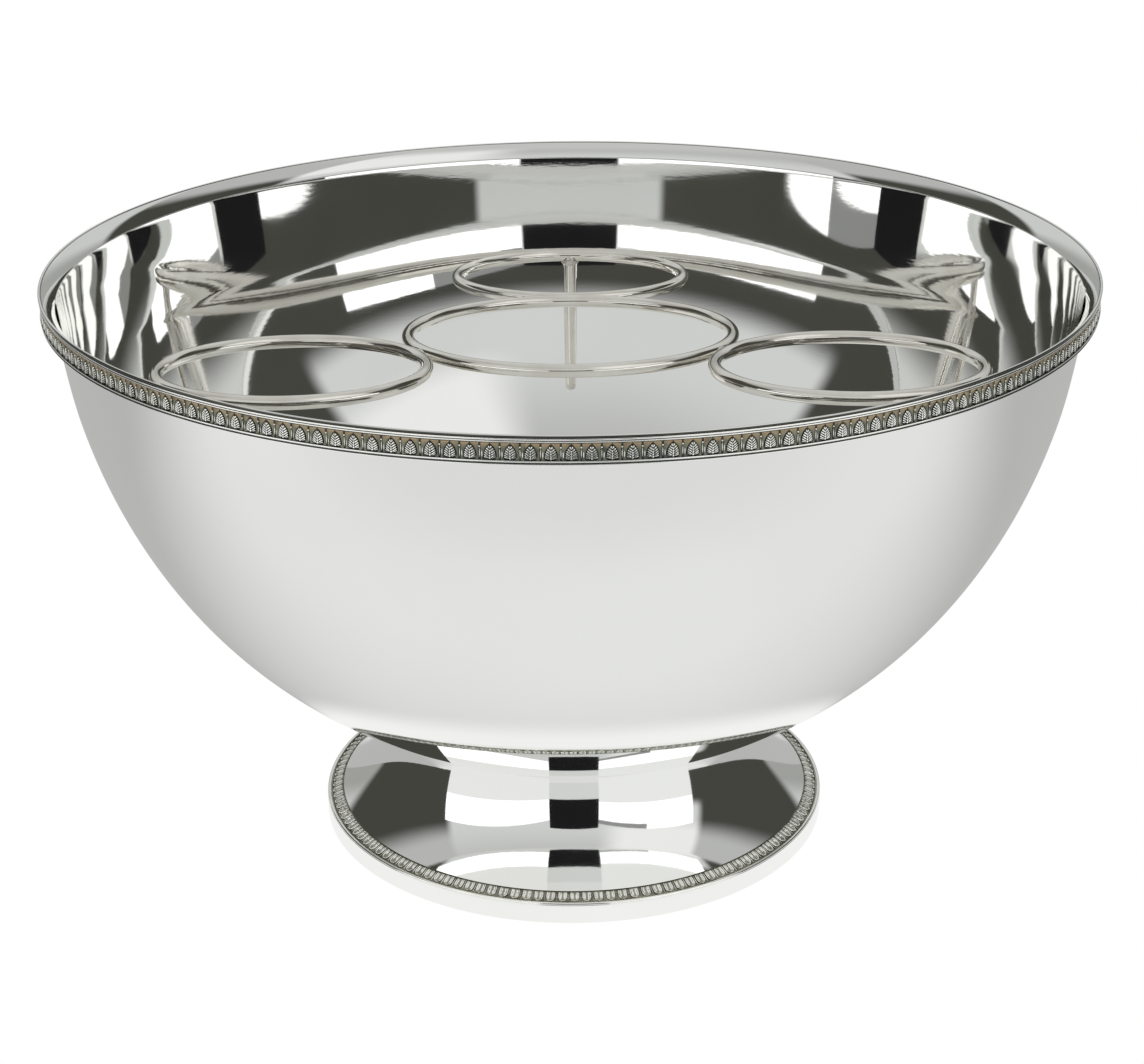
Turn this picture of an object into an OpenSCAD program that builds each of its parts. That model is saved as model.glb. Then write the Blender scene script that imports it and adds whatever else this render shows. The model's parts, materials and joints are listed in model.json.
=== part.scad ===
// Footed punch bowl with a loose wire rack that holds bottles upright in it.
// A spun bowl with a turned-out lip carries a decorated border strip between drawn wires.
// The foot flares down to an upright band, with a second border strip around its base.
// Origin: centre of the foot's underside. +Z is up, and the front is towards -Y.

/* [Rim] */
// Outside diameter over the rim's wires
rim_d = 420; // [400:1:440]
// Overall height, from the table to the crest of the rim
rim_h = 244; // [240:1:250]
// Height of the border strip around the rim
border_h = 9.35; // [8.5:0.05:9.5]
// How far the lip's inner crease lies inside the rim
lip_w = 6; // [5.9:0.05:6.2]
// How far the lip's inner crease lies below the crest
lip_drop = 6.8; // [6.4:0.1:7]
// Radius of the lip's slightly domed face
lip_arc = 16; // [12:1:40]

/* [Bowl] */
// How far the bowl's curve lies inside the rim at its widest
belly_inset = 4.1; // [3.9:0.1:4.3]
// Height of the curve's widest level above the rim
belly_rise = 17.9; // [16:0.1:20]
// Depth of the curve, from its widest level to the bowl's underside
belly_depth = 224.6; // [222:0.1:226]
// Fullness of the curve (2 is an ellipse, more is squarer)
belly_fullness = 2.125; // [2.05:0.005:2.2]
// Height above which the wall straightens out towards the lip
shoulder_h = 194; // [192:0.5:196]
// How slowly it straightens
shoulder_fade = 14; // [10:0.5:16]
// Thickness of the spun sheet
sheet = 1.1; // [1:0.05:1.3]

/* [Foot] */
// Outside diameter of the foot
foot_d = 216; // [210:1:222]
// Height of the upright band that the foot stands on
band_h = 8.2; // [7:0.1:9]
// Thickness of the upright band
band_w = 1.8; // [1.5:0.1:2.2]
// Height of the sloping border strip above the band
foot_border_rise = 2.2; // [1.8:0.1:2.6]
// Width of the sloping border strip, measured flat
foot_border_w = 5.7; // [5:0.1:6.2]
// Radius of the neck where the foot meets the bowl
neck_r = 74.6; // [74:0.1:75]
// Height of the neck's top edge
neck_h = 49; // [48.6:0.1:49.2]
// Slope of the foot's side at the neck, in degrees from upright
neck_slope = 10; // [8:0.1:12]
// How many degrees the side bulges past an even change of slope
flare_swell = 4; // [3:0.1:5]

/* [Rack] */
// Diameter of the rack's wire
wire_d = 5.3; // [5:0.1:5.6]
// Radius of the middle ring, to the wire's centre
middle_r = 65.9; // [64:0.1:67]
// Radius of the outer rings, to the wire's centre
outer_r = 51.3; // [50:0.1:52]
// Gap between the wires of two neighbouring rings, filled with solder
ring_gap = 0.3; // [0.2:0.1:0.6]
// Length of a leg below its ring, to the centre of its rounded end
leg_h = 63; // [60:0.5:64]
// How far each leg's foot stands outside its top
leg_splay = 3.6; // [2:0.1:3.6]
// Height of the rings' plane on the rack's own axis
rack_h = 212.8; // [212.8:0.1:216]
// Lean of the loose rack, front edge up, in degrees
rack_lean = 5.06; // [4.5:0.01:5.2]
// How far the loose rack stands off centre, towards the front
rack_shift = 2.2; // [1.8:0.1:2.4]

/* [Hidden] */
$fn = 96;

// colours
silver = [0.84, 0.84, 0.82];
aged_silver = [0.62, 0.60, 0.54];
solder = [0.72, 0.72, 0.68];

// play between neighbouring pieces, so that curved faces never cross
play = 0.04;

// bowl curve
curve_r = rim_d / 2 - belly_inset;
curve_z = rim_h + belly_rise;
curve_steps = 40;
wall_steps = 12;
sheet_slant = 0.02; // extra width of the sheet where the wall leans

// rim: all wires stand out from the face that the border strip shares
rim_r = rim_d / 2;
edge_wire_r = 0.55;
face_r = rim_r - edge_wire_r;
edge_wire_z = rim_h - edge_wire_r;
upper_bead_r = 0.45;
second_bead_r = 0.3;
lower_bead_r = 0.38;
bottom_bead_r = 0.22;
upper_bead_z = edge_wire_z - edge_wire_r - upper_bead_r;
second_bead_z = upper_bead_z - upper_bead_r - second_bead_r - 0.1;
border_top = edge_wire_z - edge_wire_r - play;
border_bottom = border_top - border_h;
bottom_bead_z = border_bottom + bottom_bead_r;
lower_bead_z = bottom_bead_z + bottom_bead_r + lower_bead_r + 0.5;

// lip: from the seam on the bowl's edge up to the edge wire, and the back of its sheet
lip_sheet = 0.8;
crease = [rim_r - lip_w, rim_h - lip_drop];
lip_end = [face_r - edge_wire_r - 0.1, edge_wire_z + 0.05];
lip_back_top = [lip_end[0] - 0.2, border_top - 0.65];
lip_back_bottom = [crease[0] + 1.1, crease[1]];
lip_steps = 8;

// foot
foot_r = foot_d / 2;
foot_wire_r = 0.75;
border_sheet = 0.95;
foot_sheet = 1.5;
flare_steps = 36;
foot_wire_at = foot_r - band_w / 2;
border_run = sqrt(foot_border_w * foot_border_w - foot_border_rise * foot_border_rise);
border_out = [foot_r - band_w - play, band_h + 0.2];
border_in = border_out + [-border_run, foot_border_rise];

// rack: the rings' centre distance, and where the legs and the solder go
wire_r = wire_d / 2;
ring_step = middle_r + outer_r + wire_d + ring_gap;
leg_at = ring_step + outer_r;
ring_solder_r = 2.9;
leg_solder_r = 3.6;
back = 90;
left = 210;
right = 330;

// point of the bowl's curve at angle a from its lowest point, moved in by the sheet's thickness
function curve_point(a, inset) = [
    (curve_r - inset) * pow(sin(a), 2 / belly_fullness),
    curve_z - (belly_depth - inset) * pow(cos(a), 2 / belly_fullness)
];

// angle at which the curve reaches height z
function curve_angle(z, inset) = acos(pow((curve_z - z) / (belly_depth - inset), belly_fullness / 2));

// wall above the shoulder: its slope fades from the curve's to the steady one that reaches the crease
wall_top = [crease[0] - play + sheet + sheet_slant, crease[1] - play];
function curve_slope(p) =
    pow((curve_z - p[1]) / belly_depth, belly_fullness - 1) / belly_depth
    / (pow(p[0] / curve_r, belly_fullness - 1) / curve_r);
shoulder = curve_point(curve_angle(shoulder_h, 0), 0);
function fade(rise) = shoulder_fade * (1 - exp(-rise / shoulder_fade));
wall_rise = wall_top[1] - shoulder_h;
shoulder_slope = curve_slope(shoulder);
wall_slope = (wall_top[0] - shoulder[0] - shoulder_slope * fade(wall_rise)) / (wall_rise - fade(wall_rise));
function wall_point(rise) = [
    shoulder[0] + wall_slope * (rise - fade(rise)) + shoulder_slope * fade(rise),
    shoulder_h + rise
];

// height of the bowl's underside at radius r
function underside(r) =
    curve_z - belly_depth * pow(1 - pow(r / curve_r, belly_fullness), 1 / belly_fullness);

// points of an arc of radius rho from a to b, bulging to the left of the way from a to b
function arc(a, b, rho, steps) =
    let (
        d = b - a,
        side = [d[1], -d[0]] / norm(d),
        c = (a + b) / 2 + side * sqrt(rho * rho - norm(d) * norm(d) / 4),
        from = atan2(a[1] - c[1], a[0] - c[0]),
        to = atan2(b[1] - c[1], b[0] - c[0])
    )
    [for (i = [0:steps]) c + rho * [cos(from + (to - from) * i / steps), sin(from + (to - from) * i / steps)]];

function reversed(points) = [for (i = [len(points) - 1:-1:0]) points[i]];

// slope of the foot's side at share s of its length, in degrees from upright
function flare_slope(s, base) = base + (neck_slope - base) * s + flare_swell * sin(180 * s);

// the same curve as steps that add up: sideways and upright way covered up to step i
function flare_sum(i, base) =
    i == 0 ? [0, 0] :
    let (a = flare_slope((i - 0.5) / flare_steps, base))
    flare_sum(i - 1, base) + [sin(a), cos(a)] / flare_steps;

// the slope at the base that makes the curve end at the neck, found by halving
flare_from = border_in + [0, -0.05];
flare_span = [flare_from[0] - neck_r, neck_h - flare_from[1]];
function flare_base(low, high, tries) =
    let (mid = (low + high) / 2, way = flare_sum(flare_steps, mid))
    tries == 0 ? mid :
    way[0] / way[1] < flare_span[0] / flare_span[1] ? flare_base(mid, high, tries - 1) :
    flare_base(low, mid, tries - 1);
base_slope = flare_base(30, 80, 20);
flare_length = flare_span[1] / flare_sum(flare_steps, base_slope)[1];

function flare_point(i, inset) =
    let (way = flare_sum(i, base_slope) * flare_length, a = flare_slope(i / flare_steps, base_slope))
    [flare_from[0] - way[0], flare_from[1] + way[1]] - inset * [cos(a), sin(a)];

module ring(r, z, wire) {
    rotate_extrude() translate([r, z]) circle(r = wire, $fn = 72);
}

// half-round wire whose flat back lies on the rim's face
module bead(z, wire) {
    rotate_extrude() intersection() {
        translate([face_r, z]) circle(r = wire, $fn = 32);
        translate([face_r + play, z - wire]) square([wire, 2 * wire]);
    }
}

module bowl_body() {
    outer_turn = curve_angle(shoulder_h, 0);
    inner_turn = curve_angle(shoulder_h, sheet);
    outside = [for (i = [0:curve_steps]) curve_point(outer_turn * i / curve_steps, 0)];
    inside = [for (i = [curve_steps:-1:0]) curve_point(inner_turn * i / curve_steps, sheet)];
    wall = [for (i = [1:wall_steps]) wall_point(wall_rise * i / wall_steps)];
    wall_in = [for (p = reversed(wall)) p - [sheet + sheet_slant, 0]];
    color(silver) rotate_extrude() polygon(concat(outside, wall, wall_in, inside));
}

// turned-out lip, soldered to the bowl's edge
module rim_lip() {
    lip_back = arc(lip_back_bottom, lip_back_top, lip_arc - lip_sheet, lip_steps);
    lip_front = reversed(arc(crease, lip_end, lip_arc, lip_steps));
    color(silver) rotate_extrude() polygon(concat(lip_back, lip_front));
}

module rim_edge_wire() {
    color(silver) ring(face_r, edge_wire_z, edge_wire_r);
}

module rim_upper_bead() {
    color(silver) bead(upper_bead_z, upper_bead_r);
}

module rim_second_bead() {
    color(silver) bead(second_bead_z, second_bead_r);
}

module rim_border() {
    lip_back = reversed(arc(lip_back_bottom, lip_back_top, lip_arc - lip_sheet, lip_steps));
    behind = [for (p = lip_back) p + [play, -play]];
    low = [behind[lip_steps][0], border_bottom];
    color(aged_silver) rotate_extrude()
        polygon(concat([[face_r, border_bottom], [face_r, border_top], [lip_end[0], border_top]], behind, [low]));
}

module rim_lower_bead() {
    color(silver) bead(lower_bead_z, lower_bead_r);
}

module rim_bottom_bead() {
    color(silver) bead(bottom_bead_z, bottom_bead_r);
}

// fillet of solder between the foot's top edge and the bowl's underside
module neck_solder() {
    inner = neck_r - foot_sheet;
    outer = neck_r + 3;
    fillet_r = 8;
    steps = 6;
    under = [for (i = [1:steps]) let (r = outer + (inner - outer) * i / steps) [r, underside(r) - play]];
    fillet = arc([neck_r, neck_h + play], [outer, underside(outer) - play], fillet_r, steps);
    color(solder) rotate_extrude() polygon(concat([[inner, neck_h + play]], fillet, under));
}

// flared side with a flange at its base, under the border strip
module foot_body() {
    side = [for (i = [0:flare_steps]) flare_point(i, 0)];
    hollow = [for (i = [flare_steps:-1:0]) flare_point(i, foot_sheet)];
    top_in = [neck_r - foot_sheet, neck_h];
    drop = [0, border_sheet + play];
    flange = [border_out - drop - [0, foot_sheet], border_out - drop, border_in - drop];
    corner = border_in - drop - [foot_sheet, foot_sheet];
    inner = [for (p = hollow) if (p[1] > corner[1] + foot_sheet && p[1] < neck_h - 0.5) p];
    color(silver) rotate_extrude() polygon(concat(flange, side, [top_in], inner, [corner]));
}

module foot_border() {
    drop = [0, border_sheet];
    gap = [play, 0];
    color(aged_silver) rotate_extrude()
        polygon([border_in + gap, border_in + gap - drop, border_out - drop, border_out]);
}

// half-round wire lying on top of the band
module foot_wire() {
    steps = 12;
    half = [for (i = [0:steps]) foot_wire_r * [cos(180 * i / steps), sin(180 * i / steps)]];
    color(silver) rotate_extrude() translate([foot_wire_at, band_h + play]) polygon(half);
}

module foot_band() {
    edge = 0.3;
    color(silver) rotate_extrude() polygon([
        [foot_r - band_w, 0], [foot_r - edge, 0], [foot_r, edge],
        [foot_r, band_h - edge], [foot_r - edge, band_h], [foot_r - band_w, band_h]
    ]);
}

// the rack as it stands, leaning on the bowl's wall
module placed() {
    translate([0, -rack_shift, rack_h]) rotate([-rack_lean, 0, 0]) children();
}

module rack_ring_middle() {
    color(silver) placed() ring(middle_r, 0, wire_r);
}

module outer_ring_at(a, wire) {
    rotate([0, 0, a]) translate([ring_step, 0, 0]) ring(outer_r, 0, wire);
}

module rack_ring(a) {
    color(silver) placed() outer_ring_at(a, wire_r);
}

// straight leg, splayed a little, with a rounded end
module leg_at_angle(a, wire) {
    splay = asin(leg_splay / leg_h);
    rotate([0, 0, a]) translate([leg_at, 0, 0]) rotate([0, -splay, 0]) {
        translate([0, 0, -leg_h]) cylinder(h = leg_h, r = wire);
        translate([0, 0, -leg_h]) sphere(r = wire);
    }
}

module rack_leg(a) {
    color(silver) placed() difference() {
        leg_at_angle(a, wire_r);
        outer_ring_at(a, wire_r + play);
    }
}

// solder where two rings touch
module ring_solder(a) {
    color(solder) placed() difference() {
        rotate([0, 0, a]) translate([middle_r + wire_r + ring_gap / 2, 0, 0]) sphere(r = ring_solder_r);
        ring(middle_r, 0, wire_r + play, $fn = 360);
        outer_ring_at(a, wire_r + play, $fn = 360);
    }
}

// solder around the top of a leg
module leg_solder(a) {
    color(solder) placed() difference() {
        rotate([0, 0, a]) translate([leg_at, 0, -2]) sphere(r = leg_solder_r);
        outer_ring_at(a, wire_r + play);
        leg_at_angle(a, wire_r + play);
    }
}

bowl_body();
rim_lip();
rim_edge_wire();
rim_upper_bead();
rim_second_bead();
rim_border();
rim_lower_bead();
rim_bottom_bead();
neck_solder();
foot_body();
foot_border();
foot_wire();
foot_band();
rack_ring_middle();
rack_ring(back);  // rack_ring_back
rack_ring(left);  // rack_ring_left
rack_ring(right);  // rack_ring_right
rack_leg(back);  // rack_leg_back
rack_leg(left);  // rack_leg_left
rack_leg(right);  // rack_leg_right
ring_solder(back);  // ring_solder_back
ring_solder(left);  // ring_solder_left
mirror([1, 0, 0]) ring_solder(left);  // ring_solder_right
leg_solder(back);  // leg_solder_back
leg_solder(left);  // leg_solder_left
leg_solder(right);  // leg_solder_right
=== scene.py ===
"""Looks of a footed silver bowl with a loose bottle rack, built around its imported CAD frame.

Lengths are in metres, in the frame's axes: the bowl stands on z = 0 and its axis is the z axis.
"""

import json
import math

import bpy
import numpy as np
from mathutils import Matrix, Vector


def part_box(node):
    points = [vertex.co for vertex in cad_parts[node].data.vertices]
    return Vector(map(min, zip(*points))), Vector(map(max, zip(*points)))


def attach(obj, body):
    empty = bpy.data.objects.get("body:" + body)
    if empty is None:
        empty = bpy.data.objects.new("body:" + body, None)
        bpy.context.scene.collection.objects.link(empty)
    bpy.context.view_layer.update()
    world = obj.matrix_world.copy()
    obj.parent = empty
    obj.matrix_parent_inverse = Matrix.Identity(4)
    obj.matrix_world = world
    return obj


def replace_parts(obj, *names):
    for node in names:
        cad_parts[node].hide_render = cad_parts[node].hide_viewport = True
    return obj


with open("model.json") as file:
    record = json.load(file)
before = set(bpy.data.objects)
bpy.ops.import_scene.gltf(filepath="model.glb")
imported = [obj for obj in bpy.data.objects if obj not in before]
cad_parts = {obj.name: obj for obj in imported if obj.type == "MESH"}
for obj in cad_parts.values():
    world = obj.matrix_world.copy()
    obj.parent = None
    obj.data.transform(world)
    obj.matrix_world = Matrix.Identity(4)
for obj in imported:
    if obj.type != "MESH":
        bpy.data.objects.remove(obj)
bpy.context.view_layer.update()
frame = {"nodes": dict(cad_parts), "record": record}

MM = 0.001
ON_AXIS = 1e-7

# how finely round things are divided
AROUND = 384
WIRE_AROUND = 512
WIRE_SIDES = 20
BEAD_SIDES = 10
CURVE_STEPS = 80
WALL_STEPS = 28
LIP_BACK_STEPS = 12
LIP_FACE_STEPS = 36
FLARE_STEPS = 110
FILLET_STEPS = 12
UNDER_STEPS = 8
SEAM_EDGE_STEPS = 4
BAND_EDGE_STEPS = 6
MIDDLE_AROUND = 320
OUTER_AROUND = 256
RING_SIDES = 24
LEG_AROUND = 32
LEG_ROWS = 12
BLOB_ROWS = 16
BLOB_AROUND = 28

# angles in degrees up to which a piece looks smooth
SMOOTH = 40
RELIEF_SMOOTH = 50
BEAD_SMOOTH = 60

# bowl: a superellipse turned about the axis, whose wall straightens out above its shoulder
BELLY_FULLNESS = 2.125
SHEET = 1.1 * MM
CURVE_R = 205.9 * MM
CURVE_Z = 261.9 * MM
CURVE_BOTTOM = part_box("bowl_body")[0].z
BELLY_DEPTH = CURVE_Z - CURVE_BOTTOM
SEAM_ROUND = 0.22 * MM
SEAM_GAP = 0.04 * MM
SHOULDER_Z = 194 * MM
SHOULDER_FADE = 14 * MM
WALL_LEAN = 0.02 * MM

# rim
RIM_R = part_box("rim_edge_wire")[1].x
RIM_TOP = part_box("rim_edge_wire")[1].z
EDGE_WIRE_R = (RIM_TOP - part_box("rim_edge_wire")[0].z) / 2
FACE_R = RIM_R - EDGE_WIRE_R
LIP_ARC = 16 * MM
LIP_SHEET = 0.8 * MM
CREASE_R = 204.0 * MM
CREASE_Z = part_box("rim_lip")[0].z

# rack: the centre of its middle ring, and the lean of the whole rack
RACK_LEAN = math.radians(-5.06)
WIRE_R = 2.65 * MM
MIDDLE_R = 65.9 * MM
OUTER_R = 51.3 * MM
RING_GAP = 0.3 * MM
RACK_AT = (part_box("rack_ring_middle")[0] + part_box("rack_ring_middle")[1]) / 2
RING_STEP = MIDDLE_R + OUTER_R + 2 * WIRE_R + RING_GAP
LEG_AT = RING_STEP + OUTER_R
LEG_H = 63 * MM
LEG_SPREAD = 3.6 * MM
LEG_SPLAY = math.asin(LEG_SPREAD / LEG_H)
LEG_TOP = -1.4 * MM
PLACES = {"back": 90, "left": 210, "right": 330}


# ---------------------------------------------------------------- mesh building

def mesh_object(name, verts, faces, material, smooth_angle=SMOOTH):
    """A mesh piece, smooth except where its faces meet at more than smooth_angle degrees."""
    mesh = bpy.data.meshes.new(name)
    mesh.from_pydata([tuple(v) for v in verts], [], [tuple(f) for f in faces])
    mesh.validate()
    mesh.polygons.foreach_set("use_smooth", [True] * len(mesh.polygons))
    mesh.set_sharp_from_angle(angle=math.radians(smooth_angle))
    mesh.materials.append(material)
    piece = bpy.data.objects.new(name, mesh)
    bpy.context.scene.collection.objects.link(piece)
    return piece


def revolve(profile, around=AROUND):
    """Vertices and faces of a closed outline of (radius, height) points turned about z.

    The outline runs anticlockwise, seen with the radius to the right and the height up.
    """
    verts = []
    rows = []
    turn = 2 * math.pi / around
    for radius, height in profile:
        first = len(verts)
        if radius < ON_AXIS:
            verts.append((0, 0, height))
            rows.append([first] * around)
        else:
            verts += [(radius * math.cos(turn * i), radius * math.sin(turn * i), height)
                      for i in range(around)]
            rows.append(list(range(first, first + around)))
    faces = []
    for low, high in zip(rows, rows[1:] + rows[:1]):
        for i in range(around):
            j = (i + 1) % around
            corners = [low[i], low[j], high[j], high[i]]
            corners = [c for k, c in enumerate(corners) if c != corners[k - 1]]
            if len(corners) > 2:
                faces.append(corners)
    return verts, faces


def arc(start, end, radius, steps):
    """Points from start to end on a circle that bulges to the left of the way."""
    start, end = np.array(start), np.array(end)
    way = end - start
    length = np.hypot(*way)
    side = np.array([way[1], -way[0]]) / length
    centre = (start + end) / 2 + side * math.sqrt(radius ** 2 - length ** 2 / 4)
    first = math.atan2(*(start - centre)[::-1])
    last = math.atan2(*(end - centre)[::-1])
    angles = np.linspace(first, last, steps)
    return [tuple(centre + radius * np.array([math.cos(a), math.sin(a)])) for a in angles]


def circle(radius, height, size, steps=WIRE_SIDES, first=0, turn=360):
    """Points of a circle, or of part of one, around (radius, height)."""
    count = steps if turn == 360 else steps + 1
    angles = [math.radians(first + turn * i / steps) for i in range(count)]
    return [(radius + size * math.cos(a), height + size * math.sin(a)) for a in angles]


# ---------------------------------------------------------------- materials

def new_material(name):
    """A node material that starts as bare Principled metal, with its node tree and shader."""
    material = bpy.data.materials.new(name)
    material.use_nodes = True
    tree = material.node_tree
    shader = tree.nodes["Principled BSDF"]
    shader.inputs["Metallic"].default_value = 1.0
    return material, tree, shader


def noise(tree, scale, detail, stretch=(1, 1, 1), roughness=0.5):
    """A noise pattern fixed to the object, finer along an axis where stretch is larger."""
    where = tree.nodes.new("ShaderNodeTexCoord")
    mapping = tree.nodes.new("ShaderNodeMapping")
    mapping.inputs["Scale"].default_value = stretch
    pattern = tree.nodes.new("ShaderNodeTexNoise")
    pattern.inputs["Scale"].default_value = scale
    pattern.inputs["Detail"].default_value = detail
    pattern.inputs["Roughness"].default_value = roughness
    tree.links.new(where.outputs["Object"], mapping.inputs["Vector"])
    tree.links.new(mapping.outputs["Vector"], pattern.inputs["Vector"])
    return pattern.outputs["Fac"]


def coordinates(tree, kind):
    """The x, y and z of one kind of texture coordinate."""
    where = tree.nodes.new("ShaderNodeTexCoord")
    split = tree.nodes.new("ShaderNodeSeparateXYZ")
    tree.links.new(where.outputs[kind], split.inputs["Vector"])
    return split.outputs


def math_node(tree, operation, *values):
    """The output of a Math node on sockets or numbers."""
    node = tree.nodes.new("ShaderNodeMath")
    node.operation = operation
    for socket, value in zip(node.inputs, values):
        if isinstance(value, (int, float)):
            socket.default_value = value
        else:
            tree.links.new(value, socket)
    return node.outputs[0]


def ramp(tree, value, low, high, low_to=0.0, high_to=1.0):
    """value mapped smoothly from low..high to low_to..high_to."""
    node = tree.nodes.new("ShaderNodeMapRange")
    node.interpolation_type = "SMOOTHSTEP"
    for name, number in (("From Min", low), ("From Max", high), ("To Min", low_to), ("To Max", high_to)):
        node.inputs[name].default_value = number
    tree.links.new(value, node.inputs["Value"])
    return node.outputs["Result"]


def mix(tree, share, first, second):
    """Colour first turning into colour second as share goes from 0 to 1."""
    node = tree.nodes.new("ShaderNodeMix")
    node.data_type = "RGBA"
    for name, value in (("Factor", share), ("A", first), ("B", second)):
        socket = node.inputs[name]
        if isinstance(value, (int, float)):
            socket.default_value = value
        elif isinstance(value, tuple):
            socket.default_value = (*value, 1.0)
        else:
            tree.links.new(value, socket)
    return node.outputs["Result"]


def bump(tree, height, strength, distance):
    """A normal bumped by height."""
    node = tree.nodes.new("ShaderNodeBump")
    node.inputs["Strength"].default_value = strength
    node.inputs["Distance"].default_value = distance
    tree.links.new(height, node.inputs["Height"])
    return node.outputs["Normal"]


def polished_silver():
    """Mirror-polished silver plate with a little haze and faint wipe marks."""
    material, tree, shader = new_material("polished_silver")
    haze = noise(tree, 9.0, 4.0)
    tone = mix(tree, ramp(tree, haze, 0.35, 0.7), (0.93, 0.93, 0.915), (0.95, 0.955, 0.945))
    tree.links.new(tone, shader.inputs["Base Color"])
    tree.links.new(ramp(tree, haze, 0.3, 0.75, 0.018, 0.05), shader.inputs["Roughness"])
    wipe = noise(tree, 160.0, 2.0, stretch=(1.0, 1.0, 5.0))
    tree.links.new(bump(tree, wipe, 0.02, 0.1 * MM), shader.inputs["Normal"])
    return material


def bead_wire(name, dark_root):
    """Polished drawn wire, worn a little uneven, and if asked near black along its upper root, where it faces
    up.
    """
    material, tree, shader = new_material(name)
    wear = noise(tree, 120.0, 3.0)
    tone = mix(tree, ramp(tree, wear, 0.35, 0.7), (0.90, 0.895, 0.86), (0.99, 0.985, 0.955))
    if dark_root:
        # near black where the wire faces up, along its upper root
        tone = mix(tree, ramp(tree, upward(tree), 0.66, 0.84), tone, (0.05, 0.05, 0.045))
    tree.links.new(tone, shader.inputs["Base Color"])
    smooth, rough = (0.16, 0.26) if dark_root else (0.05, 0.12)
    tree.links.new(ramp(tree, wear, 0.3, 0.75, smooth, rough), shader.inputs["Roughness"])
    tree.links.new(bump(tree, noise(tree, 420.0, 2.0), 0.10, 0.03 * MM), shader.inputs["Normal"])
    return material


def upward(tree):
    """How far the surface faces up, from -1 to 1."""
    return coordinates(tree, "Normal")["Z"]


def level_of(tree):
    """How high above the floor the point stands, on a piece of the bowl."""
    return coordinates(tree, "Object")["Z"]


def crest_metal_painted_reflection():
    """Polished on top, with its outer side painted near black: a painted reflection of the dark room that
    draws the thin dark line around the rim.
    """
    material, tree, shader = new_material("crest_metal_painted_reflection")
    # painted reflection: near black where the wire faces outwards and down, bright where it faces up
    top = ramp(tree, upward(tree), 0.40, 0.58)
    tree.links.new(mix(tree, top, (0.075, 0.075, 0.065), (0.93, 0.93, 0.91)), shader.inputs["Base Color"])
    shader.inputs["Roughness"].default_value = 0.08
    return material


def rack_wire():
    """Silver-plated wire, slightly warm and softly polished."""
    material, tree, shader = new_material("rack_wire")
    wear = noise(tree, 60.0, 4.0)
    tree.links.new(mix(tree, ramp(tree, wear, 0.35, 0.7), (0.83, 0.80, 0.74), (0.93, 0.915, 0.87)),
                   shader.inputs["Base Color"])
    tree.links.new(ramp(tree, wear, 0.3, 0.75, 0.05, 0.12), shader.inputs["Roughness"])
    tree.links.new(bump(tree, noise(tree, 300.0, 3.0), 0.12, 0.06 * MM), shader.inputs["Normal"])
    return material


def solder_metal():
    """Dull, slightly grainy silver solder."""
    material, tree, shader = new_material("solder")
    grain = noise(tree, 700.0, 3.0)
    tree.links.new(mix(tree, ramp(tree, grain, 0.35, 0.7), (0.62, 0.60, 0.55), (0.84, 0.83, 0.79)),
                   shader.inputs["Base Color"])
    tree.links.new(ramp(tree, grain, 0.3, 0.7, 0.18, 0.35), shader.inputs["Roughness"])
    tree.links.new(bump(tree, grain, 0.35, 0.15 * MM), shader.inputs["Normal"])
    return material


def stamped_silver(name, hollow, flat, crest, warm=None):
    """Stamped silver whose crests are rubbed bright and whose hollows keep their patina.

    The mesh holds how high each point stands, from 0 to 1, as the attribute "raised". The warm tone, where
    there is one, comes with the levels between which it fades in upwards.
    """
    material, tree, shader = new_material(name)
    raised = tree.nodes.new("ShaderNodeAttribute")
    raised.attribute_name = "raised"
    stain = noise(tree, 260.0, 4.0, roughness=0.65)
    level = math_node(tree, "ADD", raised.outputs["Fac"], ramp(tree, stain, 0.3, 0.7, -0.10, 0.10))
    hue = noise(tree, 90.0, 2.0)
    film = mix(tree, ramp(tree, hue, 0.4, 0.6), flat[0], flat[1])
    if warm:
        tan, low, high = warm
        film = mix(tree, ramp(tree, level_of(tree), low, high), film, tan)
    tone = mix(tree, ramp(tree, level, 0.14, 0.30), hollow, film)
    tone = mix(tree, ramp(tree, level, 0.44, 0.66), tone, crest)
    tree.links.new(tone, shader.inputs["Base Color"])
    tree.links.new(ramp(tree, level, 0.35, 0.8, 0.42, 0.14), shader.inputs["Roughness"])
    tree.links.new(bump(tree, stain, 0.3, 0.08 * MM), shader.inputs["Normal"])
    return material


def rim_stamped():
    """The rim's stamped silver: grey-green hollows, with a tan film above the middle of the strip."""
    low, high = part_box("rim_border")
    films = ((0.23, 0.235, 0.175), (0.17, 0.185, 0.145))
    tan = ((0.50, 0.37, 0.225), (low.z + high.z) / 2, high.z - 0.8 * MM)
    return stamped_silver("aged_border", (0.065, 0.074, 0.066), films, (0.985, 0.98, 0.945), tan)


def foot_stamped():
    """The foot's stamped silver, paler in its hollows."""
    films = ((0.45, 0.44, 0.36), (0.36, 0.365, 0.29))
    return stamped_silver("aged_foot_border", (0.17, 0.17, 0.13), films, (0.99, 0.985, 0.955))


# ---------------------------------------------------------------- bowl

def belly(angle, inset):
    """Point of the bowl's curve at an angle from its lowest point, inset by the sheet's thickness."""
    return ((CURVE_R - inset) * math.sin(angle) ** (2 / BELLY_FULLNESS),
            CURVE_Z - (BELLY_DEPTH - inset) * math.cos(angle) ** (2 / BELLY_FULLNESS))


def belly_angle(height, inset):
    """Angle at which the bowl's curve reaches a height."""
    return math.acos(((CURVE_Z - height) / (BELLY_DEPTH - inset)) ** (BELLY_FULLNESS / 2))


def fade(rise):
    """Share of the rise over which the wall still keeps the curve's slope."""
    return SHOULDER_FADE * (1 - math.exp(-rise / SHOULDER_FADE))


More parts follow.
